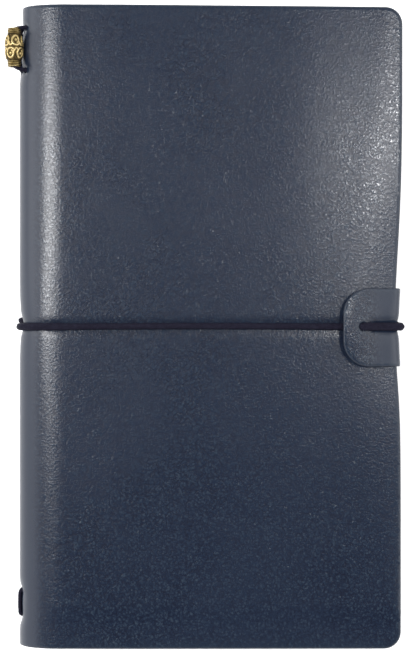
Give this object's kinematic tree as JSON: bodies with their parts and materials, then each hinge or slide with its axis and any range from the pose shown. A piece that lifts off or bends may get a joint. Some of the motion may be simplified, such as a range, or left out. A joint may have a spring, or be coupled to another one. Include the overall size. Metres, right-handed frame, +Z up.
{
  "type": "refillable leather logbook",
  "caption": "Refillable leather logbook: folded cover with a buttonhole tab, elastic closure band and spine bead, holding stapled booklets on spine elastics.",
  "frame": {"origin": "centre of the back cover's outer face, on the surface that the closed book lies on", "axes": "+X towards the fore-edge (the tab), +Y towards the head of the book, +Z up through the closed stack, out of the front cover"},
  "size_m": [0.1265, 0.2032, 0.0224],
  "materials": {
    "cover_leather": "dark navy pebbled leather, semi-gloss",
    "elastic": "blue-black braided elastic cord",
    "bead_bronze": "antique bronze, dark in the recesses",
    "booklet_card": "matt kraft card",
    "booklet_paper": "cream writing paper",
    "staple_steel": "bright wire"
  },
  "bodies": {
    "back_cover": {"back_cover": "cover_leather", "closure_strap": "cover_leather", "closure_band": "elastic", "booklet_b_cover_back": "booklet_card", "booklet_b_leaves_back": "booklet_paper", "booklet_b_staples": "staple_steel", "booklet_c_cover": "booklet_card", "booklet_c_leaves": "booklet_paper", "booklet_c_staples": "staple_steel"},
    "spine": {"cover_spine": "cover_leather", "band_knot": "elastic", "spine_elastic_a": "elastic", "spine_elastic_b": "elastic", "spine_elastic_c": "elastic"},
    "front_cover": {"front_cover": "cover_leather"},
    "front_booklet": {"booklet_a_cover": "booklet_card", "booklet_a_leaves": "booklet_paper", "booklet_a_staples": "staple_steel"},
    "middle_leaves": {"booklet_b_cover_front": "booklet_card", "booklet_b_leaves_front": "booklet_paper"},
    "tab": {"closure_tab": "cover_leather"},
    "bead": {"charm_bead": "bead_bronze"}
  },
  "joints": [
    {"name": "spine_fold", "type": "hinge", "parent": "back_cover", "child": "spine", "pos_m": [-0.05824, 0, 0.00176], "axis": [0, -1, 0], "range_deg": [0, 90], "deforming": ["closure_band", "closure_tab", "spine_elastic_a", "spine_elastic_b", "spine_elastic_c"]},
    {"name": "cover_fold", "type": "hinge", "parent": "spine", "child": "front_cover", "pos_m": [-0.05824, 0, 0.01724], "axis": [0, -1, 0], "range_deg": [0, 90]},
    {"name": "booklet_turn", "type": "hinge", "parent": "spine", "child": "front_booklet", "pos_m": [-0.0548, 0, 0.0144], "axis": [0, -1, 0], "range_deg": [0, 90]},
    {"name": "leaf_turn", "type": "hinge", "parent": "back_cover", "child": "middle_leaves", "pos_m": [-0.0548, 0, 0.0098], "axis": [0, -1, 0], "range_deg": [0, 180]},
    {"name": "tab_lift", "type": "hinge", "parent": "back_cover", "child": "tab", "pos_m": [0.05878, 0, 0.01764], "axis": [0, 1, 0], "range_deg": [0, 110]},
    {"name": "bead_spin", "type": "hinge", "parent": "spine", "child": "bead", "pos_m": [-0.06205, 0.0881, 0.01724], "axis": [0, 1, 0], "continuous": true}
  ],
  "couplings": [
    {"joint": "cover_fold", "follows": "spine_fold", "ratio": 1},
    {"joint": "booklet_turn", "follows": "spine_fold", "ratio": 1},
    {"joint": "leaf_turn", "follows": "spine_fold", "ratio": 2}
  ]
}
